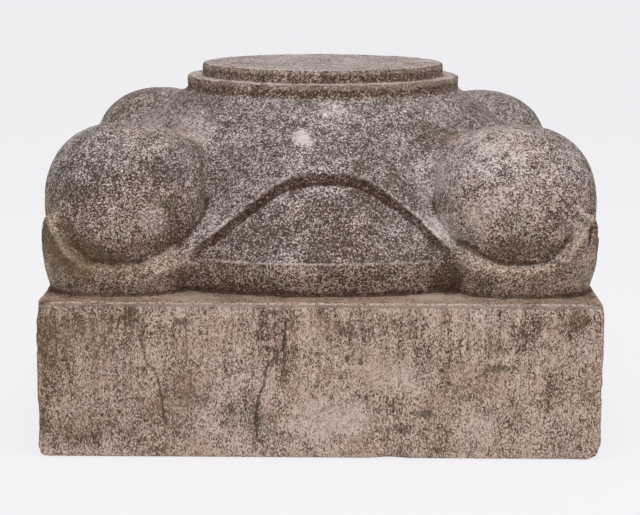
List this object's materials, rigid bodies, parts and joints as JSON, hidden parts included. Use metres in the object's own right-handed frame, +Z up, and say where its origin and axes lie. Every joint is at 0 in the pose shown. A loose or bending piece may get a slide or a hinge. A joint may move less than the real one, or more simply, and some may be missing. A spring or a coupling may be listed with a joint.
{
  "type": "column base",
  "caption": "Carved stone column base: a block plinth, a torus under an arched bell, corner balls held in cups, and stepped round discs that seat the shaft.",
  "frame": {"origin": "middle of the plinth's underside", "axes": "+Z up along the column's axis, -Y out of the front face, +X to the right seen from the front"},
  "size_m": [0.4068, 0.445, 0.267],
  "materials": {
    "weathered_stone": "matt, fine-grained, grey speckled lichen over pinkish-beige stone"
  },
  "bodies": {
    "root": {"column_base": "weathered_stone"}
  },
  "joints": []
}
